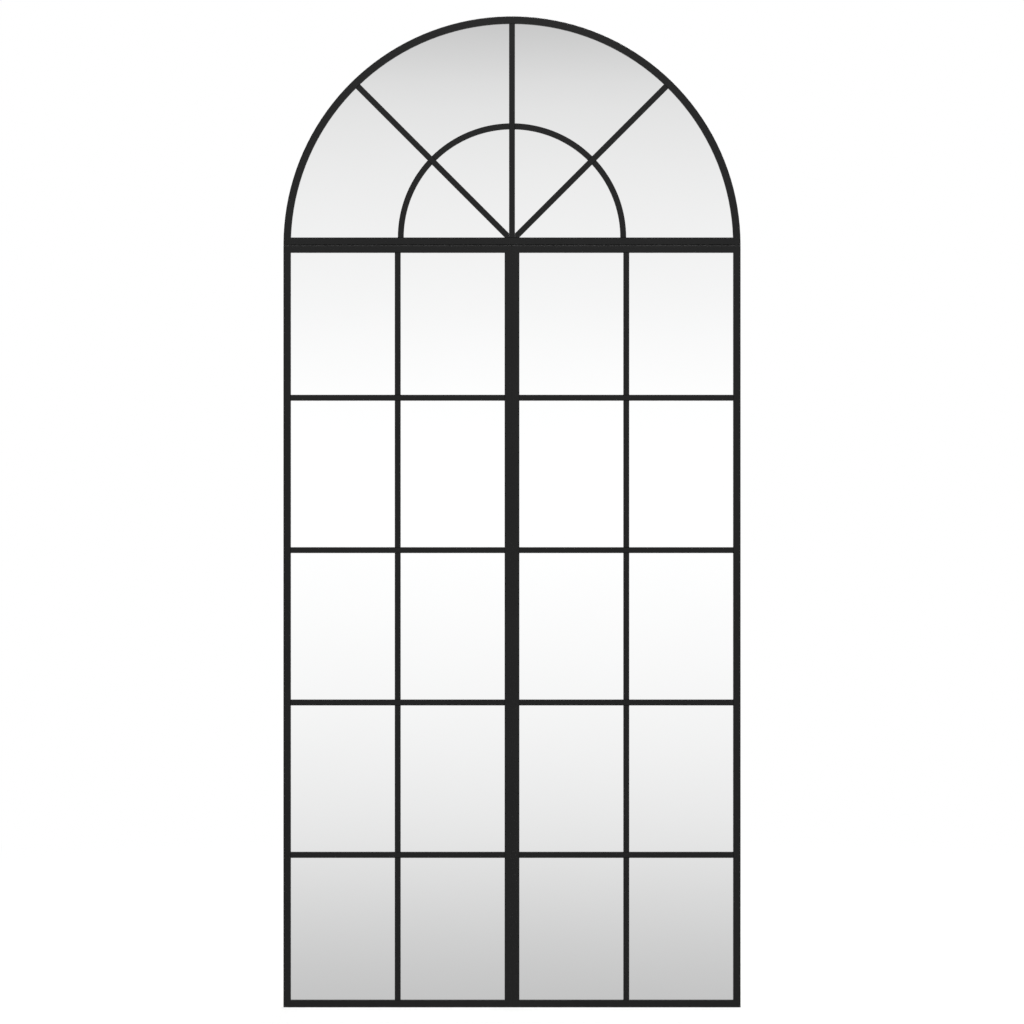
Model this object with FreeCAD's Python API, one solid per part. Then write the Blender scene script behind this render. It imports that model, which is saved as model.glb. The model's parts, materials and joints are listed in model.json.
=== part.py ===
import FreeCAD, Part
import math
import os

Vector = FreeCAD.Vector

# All sizes in millimetres. X runs to the right, Y towards the wall and Z up. The origin lies on the wall,
# level with the top of the lower panels, midway between the two keyholes.

# Overall sizes: the arch is a half circle as wide as the two lower panels together, and the joint between
# them stays open as a fine dark line.
OVERALL_WIDTH = 600.0
LOWER_HEIGHT = 1000.0
SEAM_GAP = 0.6

# Rolled frame section: a hollow box with a double-folded lip that the glass rests behind.
FACE_WIDTH = 9.7
BOX_WIDTH = 7.0
LIP_THICKNESS = 2.5
SECTION_SHEET = 1.0
FRONT_BEND_RADIUS = 1.0
LIP_CHAMFER = 0.5

# Glass and board, which lie one behind the other in the box's rebate.
GLASS_THICKNESS = 3.0
BOARD_THICKNESS = 5.0
BOARD_RECESS = 0.2
REBATE_CLEARANCE = 0.75

# Glazing bars: flat bar as thick as the lip, half-lapped where two bars cross.
MUNTIN_WIDTH = 7.7
MUNTIN_CHAMFER = 0.5
LAP_CLEARANCE = 0.05
LAP_DEPTH_SHARE = 0.5
WELD_GAP = 0.1
PANEL_ROWS = 5
RING_RADIUS = 146.0
SPOKE_HUB_RISE = 5.8
SPOKE_ANGLES = {"arch_right_spoke": 45.0, "arch_centre_spoke": 90.0, "arch_left_spoke": 135.0}

# Flat-headed pivot studs, welded to the rear of the frame bars.
STUD_HEAD_RADIUS = 2.6
STUD_HEAD_HEIGHT = 1.2
STUD_SHANK_RADIUS = 1.5

# Turn buttons: tapered tongues, each free to turn on its own stud.
BUTTON_SHEET = 1.5
BUTTON_PIVOT_RADIUS = 3.25
BUTTON_TIP_WIDTH = 5.0
BUTTON_TIP_BEVEL = 1.2
BUTTON_REACH = 18.5
BUTTON_PIVOT_CLEARANCE = 0.05
BUTTON_PLAY = 0.1
RIM_BUTTON_ANGLES = (45.0, 135.0)
STILE_BUTTON_SHARES = (0.2, 0.8)

# Keyhole hangers: bent sheet, welded across the seam so that it bridges the sill and a top rail.
HANGER_SHEET = 1.5
HANGER_SIDE_INSET = 100.0
HANGER_LENGTH = 62.0
HANGER_BRIDGE_LENGTH = 32.0
HANGER_BEND_RADIUS = 2.0
HANGER_FOOT_WIDTH = 13.0
HANGER_CORNER_BEVEL = 2.5
HANGER_BELOW = 9.0
HANGER_ABOVE = 15.0
STAND_OFF = 5.5
KEYHOLE_RADIUS = 4.5
KEYHOLE_SLOT_WIDTH = 5.0
KEYHOLE_DROP = 9.0

# Rubber bumpers, as high as the hangers.
BUMPER_LENGTH = 18.0
BUMPER_WIDTH = 6.0
BUMPER_CORNER_BEVEL = 1.5
BUMPER_SIDE_INSET = 40.0
RIM_BUMPER_ANGLES = (60.0, 120.0)

# Cutting solids reach this far past the piece they cut.
CUT_MARGIN = 1.0

ARCH_RADIUS = OVERALL_WIDTH / 2
PANEL_WIDTH = OVERALL_WIDTH / 2
FRAME_DEPTH = LIP_THICKNESS + GLASS_THICKNESS + BOARD_THICKNESS + BOARD_RECESS
REAR_Y = -STAND_OFF
FRONT_Y = REAR_Y - FRAME_DEPTH
LIP_REAR_Y = FRONT_Y + LIP_THICKNESS
LAP_Y = FRONT_Y + LIP_THICKNESS * LAP_DEPTH_SHARE
BOX_MIDDLE = BOX_WIDTH / 2
RIGHT_ANGLE = 90.0
HALF_TURN = 180.0
ORIGIN = Vector(0, 0, 0)
REARWARD = Vector(0, 1, 0)


def rounded_wire(corners):
    """Closed wire through (point, radius) corners, each rounded by its own radius."""
    edges, runs = [], []
    for i, (point, radius) in enumerate(corners):
        back = (corners[i - 1][0] - point).normalize()
        ahead = (corners[(i + 1) % len(corners)][0] - point).normalize()
        half = back.getAngle(ahead) / 2
        reach = radius / math.tan(half)
        start, end = point + back * reach, point + ahead * reach
        if radius:
            middle = point + (back + ahead).normalize() * (radius / math.sin(half) - radius)
            edges.append(Part.Arc(start, middle, end).toShape())
        runs.append((start, end))
    for i, (start, end) in enumerate(runs):
        edges.append(Part.makeLine(runs[i - 1][1], start))
    return Part.Wire(Part.__sortEdges__(edges))


def prism(points, y_from, y_to):
    """Straight-sided solid over an outline of (x, z) points."""
    outline = [Vector(x, y_from, z) for x, z in points]
    face = Part.Face(Part.makePolygon(outline + outline[:1]))
    return face.extrude(REARWARD * (y_to - y_from))


def block(x_from, x_to, z_from, z_to, y_from, y_to):
    corners = [(x_from, z_from), (x_to, z_from), (x_to, z_to), (x_from, z_to)]
    return prism(corners, y_from, y_to)


def bevelled_block(half_length, half_width, bevel, y_from, y_to):
    """Block along X about the origin, with its four upright corners cut off."""
    flat_length, flat_width = half_length - bevel, half_width - bevel
    corner = [(half_length, flat_width), (flat_length, half_width)]
    upper = corner + [(-x, z) for x, z in corner[::-1]]
    return prism(upper + [(x, -z) for x, z in upper[::-1]], y_from, y_to)


def post(radius, x, z, y_from, y_to):
    return Part.makeCylinder(radius, y_to - y_from, Vector(x, y_from, z), REARWARD)


def turned(shape, angle, x, z):
    """Copy of a shape turned about the Y axis, anticlockwise as the front is seen, then moved to (x, z)."""
    copy = shape.copy()
    copy.rotate(ORIGIN, REARWARD, -angle)
    copy.translate(Vector(x, 0, z))
    return copy


def section():
    """Frame section in the YZ plane, with its outer edge on z = 0 and its lip reaching up."""
    outline = [
        (FRONT_Y, 0, FRONT_BEND_RADIUS),
        (FRONT_Y, FACE_WIDTH - LIP_CHAMFER, 0),
        (FRONT_Y + LIP_CHAMFER, FACE_WIDTH, 0),
        (LIP_REAR_Y, FACE_WIDTH, 0),
        (LIP_REAR_Y, BOX_WIDTH, 0),
        (REAR_Y, BOX_WIDTH, 0),
        (REAR_Y, 0, 0),
    ]
    near, far = SECTION_SHEET, BOX_WIDTH - SECTION_SHEET
    front, rear = FRONT_Y + SECTION_SHEET, REAR_Y - SECTION_SHEET
    hollow = [(front, near, 0), (front, far, 0), (rear, far, 0), (rear, near, 0)]
    skin, core = (rounded_wire([(Vector(0, y, z), r) for y, z, r in w]) for w in (outline, hollow))
    return Part.Face(skin).cut(Part.Face(core)).Faces[0]


def mitre_prism(length, cut):
    corners = [(0, 0), (length, 0), (length - cut, FACE_WIDTH), (cut, FACE_WIDTH)]
    return prism(corners, FRONT_Y - CUT_MARGIN, REAR_Y + CUT_MARGIN)


def frame_bar(length, cut):
    """Bar of the frame section along +X, mitred at both ends."""
    return section().extrude(Vector(length, 0, 0)).common(mitre_prism(length, cut))


def half_disc(radius, z_from, y_from, y_to):
    """Part of a disc about the arch's centre that lies above z_from."""
    half = math.sqrt(radius**2 - z_from**2)
    left, right = Vector(-half, y_from, z_from), Vector(half, y_from, z_from)
    arc = Part.Arc(right, Vector(0, y_from, radius), left).toShape()
    face = Part.Face(Part.Wire([arc, Part.makeLine(left, right)]))
    return face.extrude(REARWARD * (y_to - y_from))


def muntin_section():
    half = MUNTIN_WIDTH / 2
    flat = half - MUNTIN_CHAMFER
    bevel_y = FRONT_Y + MUNTIN_CHAMFER
    outline = [(bevel_y, -half), (FRONT_Y, -flat), (FRONT_Y, flat), (bevel_y, half), (LIP_REAR_Y, half)]
    points = [Vector(0, y, z) for y, z in [*outline, (LIP_REAR_Y, -half), outline[0]]]
    return Part.Face(Part.makePolygon(points))


def muntin(length):
    """Glazing bar along +X, centred on z = 0."""
    return muntin_section().extrude(Vector(length, 0, 0))


def lap_block(length, y_from, y_to):
    """Room for a crossing bar that runs along +X."""
    half = MUNTIN_WIDTH / 2 + LAP_CLEARANCE
    return block(0, length, -half, half, y_from, y_to)


def pivot_stud(x, z):
    """Stud that a turn button pivots on, with the button's play left under its head."""
    seat_y = REAR_Y + BUTTON_SHEET + 2 * BUTTON_PLAY
    shank = post(STUD_SHANK_RADIUS, x, z, REAR_Y, seat_y)
    return shank.fuse(post(STUD_HEAD_RADIUS, x, z, seat_y, seat_y + STUD_HEAD_HEIGHT))


def turn_button():
    """Tongue along +X, pivoted at the origin."""
    seat = REAR_Y + BUTTON_PLAY
    half = BUTTON_TIP_WIDTH / 2
    pivot_top, pivot_low = (Vector(0, seat, side * BUTTON_PIVOT_RADIUS) for side in (1, -1))
    shoulder, flat = BUTTON_REACH - BUTTON_TIP_BEVEL, half - BUTTON_TIP_BEVEL
    tip = [(shoulder, -half), (BUTTON_REACH, -flat), (BUTTON_REACH, flat), (shoulder, half)]
    outline = [pivot_low, *(Vector(x, seat, z) for x, z in tip), pivot_top]
    round_end = Part.Arc(pivot_top, Vector(-BUTTON_PIVOT_RADIUS, seat, 0), pivot_low).toShape()
    wire = Part.Wire([round_end, *Part.makePolygon(outline).Edges])
    tongue = Part.Face(wire).extrude(REARWARD * BUTTON_SHEET)
    hole_radius = STUD_SHANK_RADIUS + BUTTON_PIVOT_CLEARANCE
    return tongue.cut(post(hole_radius, 0, 0, seat - CUT_MARGIN, seat + BUTTON_SHEET + CUT_MARGIN))


def keyhole_hanger(x):
    """Bridge of bent sheet over the seam, with feet on the two rails and a keyhole in its raised part."""
    half, foot_end = HANGER_BRIDGE_LENGTH / 2, HANGER_LENGTH / 2
    foot_y, bridge_y = REAR_Y + HANGER_SHEET, -HANGER_SHEET
    side = [(foot_end, foot_y, 0), (half, foot_y, 0), (half, 0, HANGER_BEND_RADIUS)]
    web = half - HANGER_SHEET
    under = [(web, bridge_y, 0), (web, REAR_Y, HANGER_BEND_RADIUS), (foot_end, REAR_Y, 0)]
    mirrored = [(-dx, y, r) for dx, y, r in side[::-1]] + [(-dx, y, r) for dx, y, r in under[::-1]]
    outline = [(Vector(x + dx, y, -HANGER_BELOW), r) for dx, y, r in side + mirrored + under]
    bridge = Part.Face(rounded_wire(outline)).extrude(Vector(0, 0, HANGER_BELOW + HANGER_ABOVE))
    depth = (REAR_Y - CUT_MARGIN, CUT_MARGIN)
    feet = bevelled_block(foot_end, HANGER_FOOT_WIDTH / 2, HANGER_CORNER_BEVEL, *depth)
    feet = turned(feet, 0, x, 0)
    bridge = bridge.common(feet.fuse(block(x - half, x + half, -HANGER_BELOW, HANGER_ABOVE, *depth)))
    slot_half = KEYHOLE_SLOT_WIDTH / 2
    through = (bridge_y - CUT_MARGIN, CUT_MARGIN)
    entry = post(KEYHOLE_RADIUS, x, 0, *through)
    slot = block(x - slot_half, x + slot_half, 0, KEYHOLE_DROP, *through)
    seat = post(slot_half, x, KEYHOLE_DROP, *through)
    return bridge.cut(entry.fuse(slot).fuse(seat))


def bumper(x, z, angle):
    pad = bevelled_block(BUMPER_LENGTH / 2, BUMPER_WIDTH / 2, BUMPER_CORNER_BEVEL, REAR_Y, 0)
    return turned(pad, angle, x, z)


def on_rim(angle):
    """Point on the middle line of the rim's box."""
    radius, turn = ARCH_RADIUS - BOX_MIDDLE, math.radians(angle)
    return radius * math.cos(turn), SEAM_GAP + radius * math.sin(turn)


# Where the turn buttons sit: name, pivot point, and the way the tongue points.
buttons = []
for n, angle in enumerate(RIM_BUTTON_ANGLES, 1):
    buttons.append((f"arch_rim_button_{n}", on_rim(angle), angle + HALF_TURN))
buttons.append(("arch_sill_button", (0, SEAM_GAP + BOX_MIDDLE), RIGHT_ANGLE))
for panel, side, inward in (("left", -1, 0), ("right", 1, HALF_TURN)):
    for n, share in enumerate(STILE_BUTTON_SHARES, 1):
        height = -LOWER_HEIGHT * share
        outer_pivot = (side * (PANEL_WIDTH - BOX_MIDDLE), height)
        meeting_pivot = (side * BOX_MIDDLE, height)
        buttons.append((f"{panel}_outer_button_{n}", outer_pivot, inward))
        buttons.append((f"{panel}_meeting_button_{n}", meeting_pivot, inward + HALF_TURN))

parts = {}

# Arch frame: the rim is the same section bent to a half circle, mitred against the sill.
lip_radius = ARCH_RADIUS - FACE_WIDTH
sill_cut = ARCH_RADIUS - math.sqrt(lip_radius**2 - FACE_WIDTH**2)
sill_room = turned(mitre_prism(OVERALL_WIDTH, sill_cut), 0, -ARCH_RADIUS, 0)
rim_foot = turned(section(), RIGHT_ANGLE, ARCH_RADIUS, 0)
parts["arch_rim"] = rim_foot.revolve(ORIGIN, -REARWARD, HALF_TURN).cut(sill_room)
parts["arch_sill"] = turned(frame_bar(OVERALL_WIDTH, sill_cut), 0, -ARCH_RADIUS, 0)

# Lower frames: four mitred bars each, taken round the panel from its bottom left corner.
rail, stile = frame_bar(PANEL_WIDTH, FACE_WIDTH), frame_bar(LOWER_HEIGHT, FACE_WIDTH)
for panel, x_left in (("left", -PANEL_WIDTH), ("right", 0)):
    x_right = x_left + PANEL_WIDTH
    left_name, right_name = ("outer", "meeting") if panel == "left" else ("meeting", "outer")
    parts[f"{panel}_bottom_rail"] = turned(rail, 0, x_left, -LOWER_HEIGHT)
    parts[f"{panel}_{right_name}_stile"] = turned(stile, RIGHT_ANGLE, x_right, -LOWER_HEIGHT)
    parts[f"{panel}_top_rail"] = turned(rail, HALF_TURN, x_right, 0)
    parts[f"{panel}_{left_name}_stile"] = turned(stile, -RIGHT_ANGLE, x_left, 0)

# Fan: the spokes keep the front half of each lap, and the ring keeps the rear half.
fan_room = half_disc(lip_radius - WELD_GAP, FACE_WIDTH, FRONT_Y - CUT_MARGIN, LIP_REAR_Y)
ring_start = turned(muntin_section(), RIGHT_ANGLE, RING_RADIUS, FACE_WIDTH)
ring_centre = Vector(0, 0, FACE_WIDTH)
ring = ring_start.revolve(ring_centre, -REARWARD, HALF_TURN)
ring_lap_half = MUNTIN_WIDTH / 2 + LAP_CLEARANCE
ring_lap = post(RING_RADIUS + ring_lap_half, 0, FACE_WIDTH, LAP_Y, LIP_REAR_Y + CUT_MARGIN)
ring_lap = ring_lap.cut(
    post(RING_RADIUS - ring_lap_half, 0, FACE_WIDTH, LAP_Y - CUT_MARGIN, LIP_REAR_Y + CUT_MARGIN)
)
centre_room = turned(
    lap_block(ARCH_RADIUS, FRONT_Y - CUT_MARGIN, LIP_REAR_Y + CUT_MARGIN), RIGHT_ANGLE, 0, 0
)
for name, angle in SPOKE_ANGLES.items():
    spoke = turned(muntin(ARCH_RADIUS), angle, 0, SPOKE_HUB_RISE).common(fan_room).cut(ring_lap)
    if angle != RIGHT_ANGLE:
        spoke = spoke.cut(centre_room)
    parts[name] = spoke
    ring = ring.cut(turned(lap_block(ARCH_RADIUS, FRONT_Y - CUT_MARGIN, LAP_Y), angle, 0, SPOKE_HUB_RISE))
parts["arch_ring_muntin"] = ring

# Lower glazing bars: the cross bars keep the front half of each lap, the vertical bar the rear half.
row_height = LOWER_HEIGHT / PANEL_ROWS
for panel, x_left in (("left", -PANEL_WIDTH), ("right", 0)):
    x_middle = x_left + PANEL_WIDTH / 2
    upright = turned(muntin(LOWER_HEIGHT - 2 * FACE_WIDTH), RIGHT_ANGLE, x_middle, FACE_WIDTH - LOWER_HEIGHT)
    for row in range(1, PANEL_ROWS):
        z = -row * row_height
        cross = turned(muntin(PANEL_WIDTH - 2 * FACE_WIDTH), 0, x_left + FACE_WIDTH, z)
        half = MUNTIN_WIDTH / 2 + LAP_CLEARANCE
        rear_lap = block(x_middle - half, x_middle + half, z - half, z + half, LAP_Y, LIP_REAR_Y + CUT_MARGIN)
        parts[f"{panel}_cross_muntin_{row}"] = cross.cut(rear_lap)
        upright = upright.cut(
            block(x_middle - half, x_middle + half, z - half, z + half, FRONT_Y - CUT_MARGIN, LAP_Y)
        )
    parts[f"{panel}_vertical_muntin"] = upright

# Mirror glass and back boards, both cut to the rebate less a clearance.
rebate = BOX_WIDTH + REBATE_CLEARANCE
glass_rear_y = LIP_REAR_Y + GLASS_THICKNESS
board_rear_y = glass_rear_y + BOARD_THICKNESS
for layer, y_from, y_to in (
    ("mirror_glass", LIP_REAR_Y, glass_rear_y),
    ("back_board", glass_rear_y, board_rear_y),
):
    parts[f"arch_{layer}"] = half_disc(ARCH_RADIUS - rebate, rebate, y_from, y_to)
    for panel, x_left in (("left", -PANEL_WIDTH), ("right", 0)):
        parts[f"{panel}_{layer}"] = block(
            x_left + rebate,
            x_left + PANEL_WIDTH - rebate,
            rebate - LOWER_HEIGHT,
            -rebate,
            y_from,
            y_to,
        )

# The arch is drawn about its own centre, and then lifted by the gap of the seam.
for name in [name for name in parts if name.startswith("arch_")]:
    parts[name] = turned(parts[name], 0, 0, SEAM_GAP)

# Turn buttons and the studs they pivot on.
tongue = turn_button()
for name, (x, z), angle in buttons:
    parts[name] = turned(tongue, angle, x, z)
parts["pivot_studs"] = Part.makeCompound([pivot_stud(x, z) for _, (x, z), _ in buttons])

# Hangers and bumpers.
for name, side in (("left_keyhole_hanger", -1), ("right_keyhole_hanger", 1)):
    parts[name] = keyhole_hanger(side * (ARCH_RADIUS - HANGER_SIDE_INSET))
bumper_x, bumper_z = ARCH_RADIUS - BUMPER_SIDE_INSET, BOX_MIDDLE - LOWER_HEIGHT
bumpers = [bumper(side * bumper_x, bumper_z, 0) for side in (-1, 1)]
bumpers += [bumper(*on_rim(angle), angle + RIGHT_ANGLE) for angle in RIM_BUMPER_ANGLES]
parts["wall_bumpers"] = Part.makeCompound(bumpers)

os.makedirs("parts", exist_ok=True)
for name, shape in parts.items():
    shape.exportStep(f"parts/{name}.step")
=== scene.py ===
import json
import math

import bmesh
import bpy
from mathutils import Matrix, Vector


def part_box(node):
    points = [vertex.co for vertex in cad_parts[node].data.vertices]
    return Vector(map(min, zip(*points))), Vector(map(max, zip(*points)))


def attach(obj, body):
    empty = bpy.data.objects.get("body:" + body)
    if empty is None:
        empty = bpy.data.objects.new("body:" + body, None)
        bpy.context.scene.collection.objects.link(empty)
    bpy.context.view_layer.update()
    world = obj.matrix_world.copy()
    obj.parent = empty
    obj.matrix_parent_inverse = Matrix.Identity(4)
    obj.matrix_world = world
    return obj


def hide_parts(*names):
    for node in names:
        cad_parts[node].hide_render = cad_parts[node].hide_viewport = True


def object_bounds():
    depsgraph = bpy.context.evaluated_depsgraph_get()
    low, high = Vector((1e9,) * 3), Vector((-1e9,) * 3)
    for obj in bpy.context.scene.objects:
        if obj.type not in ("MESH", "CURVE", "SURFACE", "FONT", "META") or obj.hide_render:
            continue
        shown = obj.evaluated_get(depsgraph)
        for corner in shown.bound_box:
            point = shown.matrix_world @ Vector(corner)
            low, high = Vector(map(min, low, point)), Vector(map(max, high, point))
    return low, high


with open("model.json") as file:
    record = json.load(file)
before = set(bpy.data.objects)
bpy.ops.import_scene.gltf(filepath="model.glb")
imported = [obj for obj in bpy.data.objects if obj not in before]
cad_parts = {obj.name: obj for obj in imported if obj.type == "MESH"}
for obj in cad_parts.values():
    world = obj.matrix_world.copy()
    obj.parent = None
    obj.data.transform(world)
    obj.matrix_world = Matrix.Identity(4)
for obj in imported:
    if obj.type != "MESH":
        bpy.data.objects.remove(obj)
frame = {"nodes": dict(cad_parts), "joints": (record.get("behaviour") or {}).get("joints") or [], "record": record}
cad_low, cad_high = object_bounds()

# Lengths are in metres. The front of the mirror faces -Y, the wall is at y = 0, and z = 0 is the top of the
# lower panels.
MM = 0.001
BODY = "mirror"
NODES = frame["nodes"]
MIDDLE = (cad_low + cad_high) / 2
RIGHT_ANGLE = math.pi / 2

# Camera: straight on, level with the middle of the mirror. The field is the picture's width, measured at
# the front of the frame.
CAMERA_DISTANCE = 4.2
PICTURE_FIELD = 1.3435
SENSOR_WIDTH = 36.0
CAMERA_DROP = 0.22 * MM

# Places on the frame: the rear face of its bars, the seam between the arch and the lower panels, the
# outside of the arch, and the middle of a bar's box section, measured from the bar's outer face.
REAR_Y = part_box("left_outer_stile")[1].y
ARCH_FOOT_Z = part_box("arch_sill")[0].z
PANEL_TOP_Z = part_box("left_top_rail")[1].z
SEAM_Z = (ARCH_FOOT_Z + PANEL_TOP_Z) / 2
ARCH_RADIUS = cad_high.x
BOX_MIDDLE = 3.5 * MM

# Round forms, and the share of a direction that has to lie along an axis before it counts as that axis.
ROUND_SIDES = 32
SMOOTH_ANGLE = math.radians(35)
AXIS_SHARE = 0.9
FLAT_SHARE = 0.99

# Turn buttons. The rounding of the pivot end stays a trace short of a half circle, so that its two corners
# don't meet.
BUTTON_REACH = 18.5 * MM
BUTTON_PIVOT_RADIUS = 3.25 * MM
BUTTON_HOLE_RADIUS = 1.55 * MM
BUTTON_TIP_SHARE = 5.0 / 6.5
BUTTON_CORNER = 1.2 * MM
BUTTON_CORNER_SEGMENTS = 3
BUTTON_END_SHARE = 0.999
BUTTON_END_SEGMENTS = 10
BUTTON_MERGE = 0.02 * MM
BUTTON_FLAT_ANGLE = math.radians(0.5)
BUTTON_EDGE = 0.22 * MM
BUTTON_EDGE_SEGMENTS = 2
BUTTON_EDGE_ANGLE = math.radians(40)
DRILL_LENGTH_SHARE = 4

# Domed studs with a dimple in the head.
STUD_HEAD_RADIUS = 2.6 * MM
STUD_HEAD_HEIGHT = 1.2 * MM
STUD_SHANK_RADIUS = 1.5 * MM
STUD_DOME = 0.85 * MM
STUD_DOME_SEGMENTS = 5
STUD_DIMPLE_RADIUS = 0.7 * MM
STUD_DIMPLE_DEPTH = 0.25 * MM

# Rubber bumpers.
BUMPER_LENGTH = 18.0 * MM
BUMPER_WIDTH = 6.0 * MM
BUMPER_CORNER = 1.9 * MM
BUMPER_CORNER_SEGMENTS = 6
BUMPER_EDGE = 0.8 * MM
BUMPER_EDGE_SEGMENTS = 4
RIM_BUMPER_ANGLES = (60, 120)

# Filler in the front joint between the two meeting stiles, a little below their faces.
FILLER_WIDTH = 1.2 * MM
FILLER_SINK = 0.1 * MM
FILLER_DEPTH = 0.7 * MM
FILLER_END = 1.3 * MM
FILLER_EDGE_SEGMENTS = 2

# Grey sealant in the seam under the arch. It closes the seam, and its pale grey is a painted highlight that shows
# as a fine pale line where light on the edge of the bar below would fall. It laps a little into both bars.
SEALANT_SINK = 0.9 * MM
SEALANT_DEPTH = 4.0 * MM
SEALANT_SLOPE = 1.8 * MM
SEALANT_LAP = 0.05 * MM
SEALANT_END = 0.3 * MM
SEALANT_EDGE_SEGMENTS = 2

# Weld beads: short runs across the seams, on the rear mitres and at the ends of the hangers' feet.
BEAD_LENGTH = 14.0 * MM
BEAD_WIDTH = 4.2 * MM
BEAD_HEIGHT = 1.1 * MM
BEAD_RIPPLE_SHARE = 0.66
BEAD_SIDES = 16
BEAD_RINGS = 28
BEAD_CUT_TOLERANCE = 0.0001 * MM
MITRE_BEAD_SHARE = 0.6
FOOT_BEAD_SHARE = 0.7
SEAM_BEADS_X = (60 * MM, 130 * MM, 255 * MM)
MEETING_BEADS_Z = (-60 * MM, -350 * MM, -500 * MM, -650 * MM, -940 * MM)


def clear_selection():
    bpy.ops.object.select_all(action="DESELECT")


def select_only(piece):
    clear_selection()
    piece.select_set(True)
    bpy.context.view_layer.objects.active = piece


def take(name):
    """Names the piece that was just added, and fixes its place in its mesh."""
    piece = bpy.context.active_object
    piece.name = name
    piece.data.name = name
    bpy.ops.object.transform_apply(location=True, rotation=True, scale=True)
    return piece


def edit(piece):
    select_only(piece)
    bpy.ops.object.mode_set(mode="EDIT")


def done():
    bpy.ops.object.mode_set(mode="OBJECT")


def pick(piece, kind, test):
    """In edit mode, selects the vertices, edges or faces that pass a test, and nothing else."""
    bpy.ops.mesh.select_mode(type=kind)
    bpy.ops.mesh.select_all(action="DESELECT")
    mesh = bmesh.from_edit_mesh(piece.data)
    mesh.normal_update()
    for element in {"VERT": mesh.verts, "EDGE": mesh.edges, "FACE": mesh.faces}[kind]:
        element.select_set(bool(test(element)))
    mesh.select_flush_mode()
    bmesh.update_edit_mesh(piece.data)


def edge_along(edge):
    return (edge.verts[1].co - edge.verts[0].co).normalized()


def edge_middle(edge):
    return (edge.verts[0].co + edge.verts[1].co) / 2


def modify(piece, kind, **settings):
    """Adds a modifier with these settings and applies it."""
    select_only(piece)
    modifier = piece.modifiers.new(kind.lower(), kind)
    for name, value in settings.items():
        setattr(modifier, name, value)
    bpy.ops.object.modifier_apply(modifier=modifier.name)


def copy_to(piece, name, place):
    """Copy of a piece with its own mesh, turned and moved by a matrix."""
    copy = piece.copy()
    copy.data = piece.data.copy()
    copy.name = name
    copy.data.name = name
    copy.data.transform(place)
    bpy.context.scene.collection.objects.link(copy)
    return copy


def join(pieces, name):
    clear_selection()
    for piece in pieces:
        piece.select_set(True)
    bpy.context.view_layer.objects.active = pieces[0]
    bpy.ops.object.join()
    pieces[0].name = name
    pieces[0].data.name = name
    return pieces[0]


def smooth(piece):
    select_only(piece)
    bpy.ops.object.shade_smooth_by_angle(angle=SMOOTH_ANGLE)


def turn_about_y(angle, x, z):
    """Turn about the Y axis, anticlockwise as the front is seen, and a move to (x, z)."""
    return Matrix.Translation((x, 0, z)) @ Matrix.Rotation(-angle, 4, "Y")


# Materials

# Places of the colour sockets on a Mix node.
MIX_FIRST_COLOUR = 6
MIX_SECOND_COLOUR = 7
MIX_RESULT_COLOUR = 2


def node(tree, kind, **inputs):
    """Adds a shader node. A value that is another node's socket is linked, and any other is set."""
    made = tree.nodes.new(kind)
    for name, value in inputs.items():
        key = name.replace("_", " ")
        if isinstance(value, bpy.types.NodeSocket):
            tree.links.new(value, made.inputs[key])
        else:
            made.inputs[key].default_value = value
    return made


def start_material(name):
    material = bpy.data.materials.new(name)
    material.use_nodes = True
    tree = material.node_tree
    place = tree.nodes.new("ShaderNodeTexCoord").outputs["Object"]
    return material, tree, tree.nodes["Principled BSDF"], place


def grain(tree, place, size, detail=2.0, stretch=(1, 1, 1), roughness=0.5):
    """Noise with features of about this size, in metres. A stretch below 1 draws them out on that axis."""
    mapping = node(tree, "ShaderNodeMapping", Vector=place, Scale=stretch)
    noise = node(tree, "ShaderNodeTexNoise", Vector=mapping.outputs["Vector"], Scale=1 / size)
    noise.inputs["Detail"].default_value = detail
    noise.inputs["Roughness"].default_value = roughness
    return noise.outputs["Fac"]


def ramp(tree, factor, stops, interpolation="LINEAR"):
    """Colour ramp through (position, grey or colour) stops."""
    made = node(tree, "ShaderNodeValToRGB", Fac=factor)
    made.color_ramp.interpolation = interpolation
    elements = made.color_ramp.elements
    while len(elements) < len(stops):
        elements.new(0.5)
    for element, (position, colour) in zip(elements, stops):
        element.position = position
        element.color = (*colour, 1) if isinstance(colour, tuple) else (colour, colour, colour, 1)
    return made.outputs["Color"]


def bump(tree, height, strength, depth, under=None):
    made = node(tree, "ShaderNodeBump", Height=height, Strength=strength, Distance=depth)
    if under is not None:
        tree.links.new(under, made.inputs["Normal"])
    return made.outputs["Normal"]


def darken(tree, colour, shade, strength):
    """Colour multiplied by a shade."""
    mix = node(tree, "ShaderNodeMix")
    mix.data_type = "RGBA"
    mix.blend_type = "MULTIPLY"
    mix.inputs["Factor"].default_value = strength
    tree.links.new(colour, mix.inputs[MIX_FIRST_COLOUR])
    tree.links.new(shade, mix.inputs[MIX_SECOND_COLOUR])
    return mix.outputs[MIX_RESULT_COLOUR]


def mix_shaders(tree, share, first, second):
    """Shader that goes from the first to the second as the share goes from 0 to 1."""
    mix = tree.nodes.new("ShaderNodeMixShader")
    tree.links.new(share, mix.inputs[0])
    tree.links.new(first, mix.inputs[1])
    tree.links.new(second, mix.inputs[2])
    return mix.outputs[0]


# Powder coat: fine pores over a slight waviness, with faint clouds in its tone.
COAT_PORE = 0.6 * MM
COAT_WAVE = 3 * MM
COAT_CLOUD = 120 * MM
COAT_PORE_DEPTH = 0.08 * MM
COAT_WAVE_DEPTH = 0.12 * MM
COAT_TONES = [(0.3, 0.0074), (0.7, 0.0092)]
COAT_ROUGHNESS = [(0.25, 0.34), (0.75, 0.46)]
COAT_SHINE = 0.2


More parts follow.
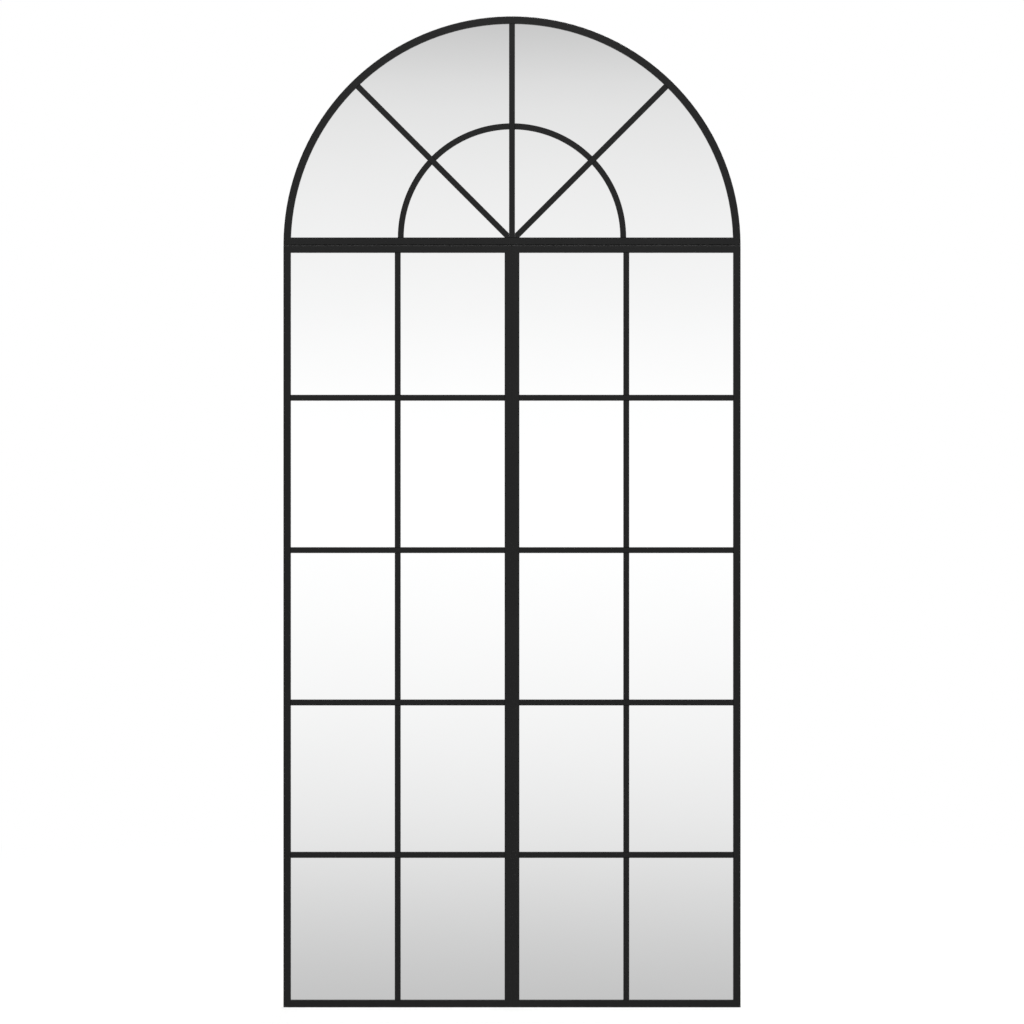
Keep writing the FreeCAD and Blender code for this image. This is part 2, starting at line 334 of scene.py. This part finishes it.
def black_powder_coat():
    material, tree, shader, place = start_material("black_powder_coat")
    pores = grain(tree, place, COAT_PORE, detail=4, roughness=0.6)
    waves = grain(tree, place, COAT_WAVE, detail=3)
    clouds = grain(tree, place, COAT_CLOUD)
    tree.links.new(ramp(tree, clouds, COAT_TONES), shader.inputs["Base Color"])
    tree.links.new(ramp(tree, pores, COAT_ROUGHNESS), shader.inputs["Roughness"])
    peel = bump(tree, waves, strength=0.25, depth=COAT_WAVE_DEPTH)
    skin = bump(tree, pores, strength=0.35, depth=COAT_PORE_DEPTH, under=peel)
    tree.links.new(skin, shader.inputs["Normal"])
    shader.inputs["Specular IOR Level"].default_value = COAT_SHINE
    return material


# Mirror glass, silvered, with a trace of haze.
GLASS_HAZE = 90 * MM
GLASS_ROUGHNESS = [(0.2, 0.0), (0.8, 0.012)]
SILVER_TONES = [(0.25, (0.953, 0.955, 0.955)), (0.75, (0.958, 0.96, 0.96))]


def silvered_glass():
    material, tree, shader, place = start_material("silvered_glass")
    haze = grain(tree, place, GLASS_HAZE, detail=4)
    tree.links.new(ramp(tree, haze, GLASS_ROUGHNESS), shader.inputs["Roughness"])
    tree.links.new(ramp(tree, haze, SILVER_TONES), shader.inputs["Base Color"])
    shader.inputs["Metallic"].default_value = 1.0
    return material


# Fibreboard: matted fibres, a few dark specks and soft clouds.
BOARD_FIBRE = 1.6 * MM
BOARD_FIBRE_STRETCH = (1, 1, 0.6)
BOARD_FIBRE_DEPTH = 0.12 * MM
BOARD_SPECK = 1.1 * MM
BOARD_CLOUD = 80 * MM
BOARD_TONES = [(0.34, (0.235, 0.142, 0.075)), (0.5, (0.37, 0.243, 0.143)), (0.66, (0.48, 0.335, 0.21))]
BOARD_CLOUD_SHADES = [(0.3, 0.84), (0.7, 1.0)]
BOARD_SPECK_SHADES = [(0.28, 0.4), (0.34, 1.0)]
BOARD_ROUGHNESS = [(0.3, 0.82), (0.7, 0.7)]
BOARD_SHINE = 0.3


def raw_fibreboard():
    material, tree, shader, place = start_material("raw_fibreboard")
    fibres = grain(tree, place, BOARD_FIBRE, detail=8, stretch=BOARD_FIBRE_STRETCH, roughness=0.8)
    specks = grain(tree, place, BOARD_SPECK, detail=3)
    clouds = grain(tree, place, BOARD_CLOUD, detail=4)
    base = ramp(tree, fibres, BOARD_TONES)
    clouded = darken(tree, base, ramp(tree, clouds, BOARD_CLOUD_SHADES), strength=1.0)
    speckled = darken(tree, clouded, ramp(tree, specks, BOARD_SPECK_SHADES), strength=0.6)
    tree.links.new(speckled, shader.inputs["Base Color"])
    tree.links.new(ramp(tree, fibres, BOARD_ROUGHNESS), shader.inputs["Roughness"])
    tree.links.new(bump(tree, fibres, strength=0.35, depth=BOARD_FIBRE_DEPTH), shader.inputs["Normal"])
    shader.inputs["Specular IOR Level"].default_value = BOARD_SHINE
    return material


# Zinc plating: fine drawing marks and a light mottle.
ZINC_MARK = 0.5 * MM
ZINC_MARK_STRETCH = (1, 1, 0.08)
ZINC_MARK_DEPTH = 0.03 * MM
ZINC_CLOUD = 3 * MM
ZINC_TONES = [(0.3, (0.52, 0.53, 0.55)), (0.7, (0.66, 0.67, 0.68))]
ZINC_ROUGHNESS = [(0.3, 0.28), (0.7, 0.44)]


def bright_zinc():
    material, tree, shader, place = start_material("bright_zinc")
    marks = grain(tree, place, ZINC_MARK, detail=3, stretch=ZINC_MARK_STRETCH)
    clouds = grain(tree, place, ZINC_CLOUD, detail=3)
    tree.links.new(ramp(tree, clouds, ZINC_TONES), shader.inputs["Base Color"])
    tree.links.new(ramp(tree, marks, ZINC_ROUGHNESS), shader.inputs["Roughness"])
    tree.links.new(bump(tree, marks, strength=0.1, depth=ZINC_MARK_DEPTH), shader.inputs["Normal"])
    shader.inputs["Metallic"].default_value = 1.0
    return material


# Rubber with fine pores and a faint bloom.
RUBBER_PORE = 0.4 * MM
RUBBER_PORE_DEPTH = 0.05 * MM
RUBBER_BLOOM = 5 * MM
RUBBER_TONES = [(0.3, 0.012), (0.7, 0.022)]
RUBBER_ROUGHNESS = [(0.3, 0.7), (0.7, 0.9)]
RUBBER_SHINE = 0.3


def bumper_rubber():
    material, tree, shader, place = start_material("bumper_rubber")
    pores = grain(tree, place, RUBBER_PORE, detail=4)
    bloom = grain(tree, place, RUBBER_BLOOM, detail=3)
    tree.links.new(ramp(tree, bloom, RUBBER_TONES), shader.inputs["Base Color"])
    tree.links.new(ramp(tree, pores, RUBBER_ROUGHNESS), shader.inputs["Roughness"])
    tree.links.new(bump(tree, pores, strength=0.3, depth=RUBBER_PORE_DEPTH), shader.inputs["Normal"])
    shader.inputs["Specular IOR Level"].default_value = RUBBER_SHINE
    return material


# Sealant with slight ripples. Its pale grey tone is a painted highlight in the seam.
SEALANT_RIPPLE = 2 * MM
# Pale grey tones: a painted highlight, the light line along the seam.
SEALANT_PAINTED_HIGHLIGHT_TONES = [(0.3, 0.24), (0.7, 0.28)]
SEALANT_ROUGHNESS = [(0.3, 0.55), (0.7, 0.7)]
SEALANT_SHINE = 0.3


def sealant_with_painted_highlight():
    material, tree, shader, place = start_material("sealant_with_painted_highlight")
    ripples = grain(tree, place, SEALANT_RIPPLE, detail=3)
    tree.links.new(ramp(tree, ripples, SEALANT_PAINTED_HIGHLIGHT_TONES), shader.inputs["Base Color"])
    tree.links.new(ramp(tree, ripples, SEALANT_ROUGHNESS), shader.inputs["Roughness"])
    shader.inputs["Specular IOR Level"].default_value = SEALANT_SHINE
    return material


FINISHES = {
    "coated_steel": black_powder_coat(),
    "mirror_glass": silvered_glass(),
    "fibreboard": raw_fibreboard(),
    "zinc_steel": bright_zinc(),
    "rubber": bumper_rubber(),
}


def finish_as(piece, slot):
    piece.data.materials.clear()
    piece.data.materials.append(FINISHES[slot])


for subpart in frame["record"]["subparts"]:
    finish_as(NODES[subpart["node"]], subpart["material_slot"])


# Turn buttons and their studs

def model_turn_button(seat_y, sheet):
    """Stamped tongue along +X, pivoted at the origin."""
    clear_selection()
    bpy.ops.mesh.primitive_plane_add(
        size=1, location=(BUTTON_REACH / 2, seat_y, 0), rotation=(RIGHT_ANGLE, 0, 0)
    )
    bpy.context.active_object.scale = (BUTTON_REACH, 2 * BUTTON_PIVOT_RADIUS, 1)
    button = take("turn_button")
    edit(button)
    pick(button, "VERT", lambda v: v.co.x > BUTTON_REACH / 2)
    bpy.ops.transform.resize(value=(1, 1, BUTTON_TIP_SHARE))
    bpy.ops.mesh.bevel(offset=BUTTON_CORNER, segments=BUTTON_CORNER_SEGMENTS, affect="VERTICES")
    pick(button, "EDGE", lambda e: abs(edge_middle(e).x) < BUTTON_CORNER / 2)
    bpy.ops.mesh.extrude_region_move(TRANSFORM_OT_translate={"value": (-BUTTON_PIVOT_RADIUS, 0, 0)})
    pick(button, "VERT", lambda v: v.co.x < -BUTTON_PIVOT_RADIUS / 2)
    bpy.ops.mesh.bevel(
        offset=BUTTON_PIVOT_RADIUS * BUTTON_END_SHARE, segments=BUTTON_END_SEGMENTS, affect="VERTICES"
    )
    bpy.ops.mesh.select_all(action="SELECT")
    bpy.ops.mesh.remove_doubles(threshold=BUTTON_MERGE)
    bpy.ops.mesh.dissolve_limited(angle_limit=BUTTON_FLAT_ANGLE)
    bpy.ops.mesh.select_all(action="SELECT")
    bpy.ops.mesh.extrude_region_move(TRANSFORM_OT_translate={"value": (0, sheet, 0)})
    bpy.ops.mesh.select_all(action="SELECT")
    bpy.ops.mesh.normals_make_consistent(inside=False)
    done()
    clear_selection()
    bpy.ops.mesh.primitive_cylinder_add(
        vertices=ROUND_SIDES,
        radius=BUTTON_HOLE_RADIUS,
        depth=DRILL_LENGTH_SHARE * sheet,
        location=(0, seat_y, 0),
        rotation=(RIGHT_ANGLE, 0, 0),
    )
    drill = take("drill")
    modify(button, "BOOLEAN", object=drill, operation="DIFFERENCE", solver="EXACT")
    bpy.data.objects.remove(drill)
    modify(
        button,
        "BEVEL",
        width=BUTTON_EDGE,
        segments=BUTTON_EDGE_SEGMENTS,
        limit_method="ANGLE",
        angle_limit=BUTTON_EDGE_ANGLE,
    )
    smooth(button)
    return button


def model_stud(head_y):
    """Domed rivet head on a shank that stands on the frame bar."""
    clear_selection()
    bpy.ops.mesh.primitive_cylinder_add(
        vertices=ROUND_SIDES,
        radius=STUD_HEAD_RADIUS,
        depth=STUD_HEAD_HEIGHT,
        location=(0, head_y + STUD_HEAD_HEIGHT / 2, 0),
        rotation=(RIGHT_ANGLE, 0, 0),
    )
    stud = take("pivot_stud")
    edit(stud)
    pick(stud, "FACE", lambda f: f.normal.y > AXIS_SHARE)
    bpy.ops.mesh.bevel(offset=STUD_DOME, segments=STUD_DOME_SEGMENTS, affect="EDGES")
    pick(stud, "FACE", lambda f: f.normal.y > FLAT_SHARE and f.calc_area() > STUD_DIMPLE_RADIUS**2)
    bpy.ops.mesh.inset(thickness=STUD_HEAD_RADIUS - STUD_DOME - STUD_DIMPLE_RADIUS)
    bpy.ops.mesh.inset(thickness=STUD_DIMPLE_RADIUS / 2, depth=-STUD_DIMPLE_DEPTH)
    pick(stud, "FACE", lambda f: f.normal.y < -AXIS_SHARE)
    bpy.ops.mesh.inset(thickness=STUD_HEAD_RADIUS - STUD_SHANK_RADIUS)
    bpy.ops.mesh.extrude_region_move(TRANSFORM_OT_translate={"value": (0, REAR_Y - head_y, 0)})
    done()
    smooth(stud)
    return stud


def hang_buttons():
    """A turn button at each joint, pointing as the solid does, and its stud."""
    low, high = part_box("arch_sill_button")
    button = model_turn_button(low.y, high.y - low.y)
    stud = model_stud(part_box("pivot_studs")[1].y - STUD_HEAD_HEIGHT)
    studs = []
    for joint in frame["joints"]:
        name = joint["child"]
        pivot = Vector(joint["pos_m"])
        low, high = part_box(name)
        towards = (low + high) / 2 - pivot
        place = turn_about_y(math.atan2(towards.z, towards.x), pivot.x, pivot.z)
        made = copy_to(button, name + "_stamped", place)
        finish_as(made, "zinc_steel")
        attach(made, name)
        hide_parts(name)
        studs.append(copy_to(stud, name + "_stud", place))
    bpy.data.objects.remove(button)
    bpy.data.objects.remove(stud)
    studs = join(studs, "domed_pivot_studs")
    finish_as(studs, "zinc_steel")
    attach(studs, BODY)
    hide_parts("pivot_studs")


# Rubber bumpers

def model_bumper(length, width, low_y, high_y):
    """Moulded pad along X about the origin, with soft edges towards the wall."""
    clear_selection()
    bpy.ops.mesh.primitive_cube_add(size=1, location=(0, (low_y + high_y) / 2, 0))
    bpy.context.active_object.scale = (length, high_y - low_y, width)
    bumper = take("bumper")
    edit(bumper)
    pick(bumper, "EDGE", lambda e: abs(edge_along(e).y) > AXIS_SHARE)
    bpy.ops.mesh.bevel(offset=BUMPER_CORNER, segments=BUMPER_CORNER_SEGMENTS, affect="EDGES")
    pick(bumper, "FACE", lambda f: f.normal.y > AXIS_SHARE)
    bpy.ops.mesh.bevel(offset=BUMPER_EDGE, segments=BUMPER_EDGE_SEGMENTS, affect="EDGES")
    done()
    smooth(bumper)
    return bumper


def fit_bumpers():
    """Two pads on the bottom rails and two on the rim."""
    low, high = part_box("wall_bumpers")
    bumper = model_bumper(BUMPER_LENGTH, BUMPER_WIDTH, low.y, high.y)
    bottom_z = low.z + BUMPER_WIDTH / 2
    side_x = high.x - BUMPER_LENGTH / 2
    rim_middle = ARCH_RADIUS - BOX_MIDDLE
    places = [turn_about_y(0, side * side_x, bottom_z) for side in (-1, 1)]
    for angle in map(math.radians, RIM_BUMPER_ANGLES):
        x = rim_middle * math.cos(angle)
        z = ARCH_FOOT_Z + rim_middle * math.sin(angle)
        places.append(turn_about_y(angle + RIGHT_ANGLE, x, z))
    pads = [copy_to(bumper, f"bumper_{n}", place) for n, place in enumerate(places)]
    bpy.data.objects.remove(bumper)
    pads = join(pads, "moulded_wall_bumpers")
    finish_as(pads, "rubber")
    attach(pads, BODY)
    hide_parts("wall_bumpers")


# Filler in the meeting joint, and sealant in the seam whose pale grey is a painted highlight

def fill_meeting_joint():
    """Coated strip that closes the joint between the meeting stiles, with its front edges eased."""
    low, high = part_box("left_meeting_stile")
    front_y = low.y + FILLER_SINK
    clear_selection()
    bpy.ops.mesh.primitive_cube_add(size=1, location=(0, front_y + FILLER_DEPTH / 2, (low.z + high.z) / 2))
    bpy.context.active_object.scale = (FILLER_WIDTH, FILLER_DEPTH, high.z - low.z - 2 * FILLER_END)
    filler = take("meeting_joint_filler")

    def on_front_edge(edge):
        return abs(edge_along(edge).z) > AXIS_SHARE and edge_middle(edge).y < front_y + FILLER_SINK

    edit(filler)
    pick(filler, "EDGE", on_front_edge)
    bpy.ops.mesh.bevel(offset=FILLER_SINK, segments=FILLER_EDGE_SEGMENTS, affect="EDGES")
    done()
    smooth(filler)
    finish_as(filler, "coated_steel")
    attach(filler, BODY)


def seal_arch_seam():
    """Strip of sealant that closes the seam under the arch; its pale grey is a painted highlight. Its face leans
    back towards the top.
    """
    front_y = cad_low.y + SEALANT_SINK
    height = ARCH_FOOT_Z - PANEL_TOP_Z + 2 * SEALANT_LAP
    clear_selection()
    bpy.ops.mesh.primitive_cube_add(size=1, location=(0, front_y + SEALANT_DEPTH / 2, SEAM_Z))
    bpy.context.active_object.scale = (2 * (ARCH_RADIUS - SEALANT_END), SEALANT_DEPTH, height)
    sealant_strip_and_painted_highlight = take("arch_seam_sealant_with_painted_highlight")
    edit(sealant_strip_and_painted_highlight)
    pick(sealant_strip_and_painted_highlight, "VERT", lambda v: v.co.z > SEAM_Z and v.co.y < front_y + SEALANT_LAP)
    bpy.ops.transform.translate(value=(0, SEALANT_SLOPE, 0))
    pick(sealant_strip_and_painted_highlight, "EDGE", lambda e: abs(edge_along(e).x) > AXIS_SHARE)
    bpy.ops.mesh.bevel(offset=2 * SEALANT_LAP, segments=SEALANT_EDGE_SEGMENTS, affect="EDGES")
    done()
    smooth(sealant_strip_and_painted_highlight)
    # The pale grey material paints a highlight into the seam.
    sealant_strip_and_painted_highlight.data.materials.append(sealant_with_painted_highlight())
    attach(sealant_strip_and_painted_highlight, BODY)


# Weld beads

def model_bead():
    """Rippled bead along X about the origin, cut off level with the rear face of the bars."""
    clear_selection()
    bpy.ops.mesh.primitive_uv_sphere_add(
        segments=BEAD_SIDES,
        ring_count=BEAD_RINGS,
        radius=0.5,
        location=(0, REAR_Y, 0),
        rotation=(0, RIGHT_ANGLE, 0),
    )
    bpy.context.active_object.scale = (BEAD_WIDTH, 2 * BEAD_HEIGHT, BEAD_LENGTH)
    bead = take("weld_bead")

    def on_trough(vertex):
        share = max(-1.0, min(1.0, 2 * vertex.co.x / BEAD_LENGTH))
        return round(math.acos(share) * BEAD_RINGS / math.pi) % 2 == 1

    edit(bead)
    pick(bead, "VERT", on_trough)
    bpy.ops.transform.resize(
        value=(1, BEAD_RIPPLE_SHARE, BEAD_RIPPLE_SHARE), center_override=(0, REAR_Y, 0)
    )
    done()
    modify(bead, "SUBSURF", levels=1, render_levels=1)
    edit(bead)
    bpy.ops.mesh.select_all(action="SELECT")
    bpy.ops.mesh.bisect(
        plane_co=(0, REAR_Y, 0),
        plane_no=(0, 1, 0),
        use_fill=True,
        clear_inner=True,
        threshold=BEAD_CUT_TOLERANCE,
    )
    done()
    smooth(bead)
    return bead


def lay_beads():
    """Beads across the seams, on the rear mitres and at the hangers' feet."""
    places = []
    for x in SEAM_BEADS_X:
        places += [turn_about_y(0, side * x, SEAM_Z) for side in (-1, 1)]
    places += [turn_about_y(RIGHT_ANGLE, 0, z) for z in MEETING_BEADS_Z]

    # Each mitre has a place and the way its bead leans.
    mitre_size = Matrix.Diagonal((MITRE_BEAD_SHARE, 1, MITRE_BEAD_SHARE, 1))
    side_x = ARCH_RADIUS - BOX_MIDDLE
    bottom = cad_low.z + BOX_MIDDLE
    top = PANEL_TOP_Z - BOX_MIDDLE
    foot = ARCH_FOOT_Z + BOX_MIDDLE
    for x, z, lean in (
        (-side_x, bottom, 1),
        (-BOX_MIDDLE, bottom, -1),
        (BOX_MIDDLE, bottom, 1),
        (side_x, bottom, -1),
        (-side_x, top, -1),
        (side_x, top, 1),
        (-side_x, foot, 1),
        (side_x, foot, -1),
    ):
        places.append(turn_about_y(lean * RIGHT_ANGLE / 2, x, z) @ mitre_size)

    hanger_size = Matrix.Diagonal((FOOT_BEAD_SHARE, 1, 1, 1))
    for name in ("left_keyhole_hanger", "right_keyhole_hanger"):
        low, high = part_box(name)
        places += [turn_about_y(RIGHT_ANGLE, x, 0) @ hanger_size for x in (low.x, high.x)]

    bead = model_bead()
    beads = [copy_to(bead, f"bead_{n}", place) for n, place in enumerate(places)]
    bpy.data.objects.remove(bead)
    beads = join(beads, "rear_weld_beads")
    finish_as(beads, "coated_steel")
    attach(beads, BODY)


hang_buttons()
fit_bumpers()
fill_meeting_joint()
seal_arch_seam()
lay_beads()


# Studio

WHITE = (1, 1, 1, 1)

# Floor: a pale disc that fades to white between two distances from the mirror.
FLOOR_RADIUS = 4.0
FLOOR_SIDES = 96
FLOOR_COLOUR = (0.45, 0.45, 0.45, 1)
FLOOR_GLOW = (0.58, 0.58, 0.58, 1)
FLOOR_FADE_START = 0.6
FLOOR_FADE_END = 2.2

# Backdrop that the mirror reflects: (upward share of the direction, brightness). It is brightest at eye
# level, with a pale floor below and a lamp overhead.
BACKDROP_SHARES = [
    (-0.75, 1.0), (-0.40, 0.74), (-0.17, 0.53), (-0.10, 0.83), (-0.01, 1.05),
    (0.06, 0.98), (0.13, 0.78), (0.17, 0.50), (0.40, 0.62), (0.95, 1.0),
]
SKY_LEVEL = 0.62

# Softboxes, in front of the mirror and behind it.
SOFTBOX_SIZE = (1.8, 1.2)
SOFTBOX_POWER = 56
FRONT_SOFTBOX_PLACE = (0.1, -2.3, 2.2)
REAR_SOFTBOX_PLACE = (0.7, 2.0, 1.9)


def add_floor():
    """Pale floor under the mirror. Reflections pass through it to the backdrop."""
    clear_selection()
    bpy.ops.mesh.primitive_circle_add(
        vertices=FLOOR_SIDES, radius=FLOOR_RADIUS, fill_type="NGON", location=(0, 0, cad_low.z)
    )
    floor = bpy.context.active_object
    floor.name = "floor"
    material = bpy.data.materials.new("pale_floor")
    material.use_nodes = True
    tree = material.node_tree
    tree.nodes.remove(tree.nodes["Principled BSDF"])
    place = tree.nodes.new("ShaderNodeTexCoord").outputs["Object"]
    light = tree.nodes.new("ShaderNodeLightPath")
    seen_directly = light.outputs["Is Camera Ray"]
    reach = node(tree, "ShaderNodeVectorMath", Vector=place)
    reach.operation = "LENGTH"
    fade = node(
        tree,
        "ShaderNodeMapRange",
        Value=reach.outputs["Value"],
        From_Min=FLOOR_FADE_START,
        From_Max=FLOOR_FADE_END,
    )
    fade.interpolation_type = "SMOOTHSTEP"
    matt = node(tree, "ShaderNodeBsdfDiffuse", Color=FLOOR_COLOUR)
    glow = node(tree, "ShaderNodeEmission", Strength=seen_directly, Color=FLOOR_GLOW)
    near = tree.nodes.new("ShaderNodeAddShader")
    tree.links.new(matt.outputs[0], near.inputs[0])
    tree.links.new(glow.outputs[0], near.inputs[1])
    far = node(tree, "ShaderNodeEmission", Strength=seen_directly)
    lit = mix_shaders(tree, fade.outputs["Result"], near.outputs[0], far.outputs[0])
    clear = tree.nodes.new("ShaderNodeBsdfTransparent")
    seen = mix_shaders(tree, light.outputs["Is Glossy Ray"], lit, clear.outputs[0])
    tree.links.new(seen, tree.nodes["Material Output"].inputs["Surface"])
    floor.data.materials.append(material)


def light_world():
    """White behind the object, an even light on it, and a backdrop that only reflections see."""
    world = bpy.data.worlds.new("studio")
    bpy.context.scene.world = world
    world.use_nodes = True
    tree = world.node_tree
    light = tree.nodes.new("ShaderNodeLightPath")
    direction = tree.nodes.new("ShaderNodeTexCoord").outputs["Generated"]
    upward = node(tree, "ShaderNodeSeparateXYZ", Vector=direction).outputs["Z"]
    spread = node(tree, "ShaderNodeMapRange", Value=upward, From_Min=-1.0, From_Max=1.0).outputs["Result"]
    peak = max(level for _, level in BACKDROP_SHARES)
    stops = [((rise + 1) / 2, level / peak) for rise, level in BACKDROP_SHARES]
    backdrop = ramp(tree, spread, stops, "CARDINAL")
    mirrored = node(tree, "ShaderNodeBackground", Color=backdrop, Strength=peak)
    even = node(tree, "ShaderNodeBackground", Color=WHITE, Strength=SKY_LEVEL)
    white = node(tree, "ShaderNodeBackground", Color=WHITE, Strength=1.0)
    shiny = node(tree, "ShaderNodeMath")
    shiny.operation = "MAXIMUM"
    tree.links.new(light.outputs["Is Glossy Ray"], shiny.inputs[0])
    tree.links.new(light.outputs["Is Transmission Ray"], shiny.inputs[1])
    lit = mix_shaders(tree, shiny.outputs[0], even.outputs[0], mirrored.outputs[0])
    seen = mix_shaders(tree, light.outputs["Is Camera Ray"], lit, white.outputs[0])
    tree.links.new(seen, tree.nodes["World Output"].inputs["Surface"])


def add_softbox(name, place):
    lamp = bpy.data.lights.new(name, "AREA")
    lamp.shape = "RECTANGLE"
    lamp.size, lamp.size_y = SOFTBOX_SIZE
    lamp.energy = SOFTBOX_POWER
    softbox = bpy.data.objects.new(name, lamp)
    softbox.location = place
    softbox.rotation_euler = (MIDDLE - Vector(place)).to_track_quat("-Z", "Y").to_euler()
    bpy.context.scene.collection.objects.link(softbox)


def add_camera():
    lens = bpy.data.cameras.new("camera")
    lens.sensor_width = SENSOR_WIDTH
    lens.lens = SENSOR_WIDTH * CAMERA_DISTANCE / PICTURE_FIELD
    camera = bpy.data.objects.new("camera", lens)
    camera.location = (0, cad_low.y - CAMERA_DISTANCE, MIDDLE.z - CAMERA_DROP)
    camera.rotation_euler = (RIGHT_ANGLE, 0, 0)
    bpy.context.scene.collection.objects.link(camera)
    bpy.context.scene.camera = camera


add_floor()
light_world()
add_softbox("front_softbox", FRONT_SOFTBOX_PLACE)
add_softbox("rear_softbox", REAR_SOFTBOX_PLACE)
add_camera()
bpy.context.scene.view_settings.view_transform = "Standard"
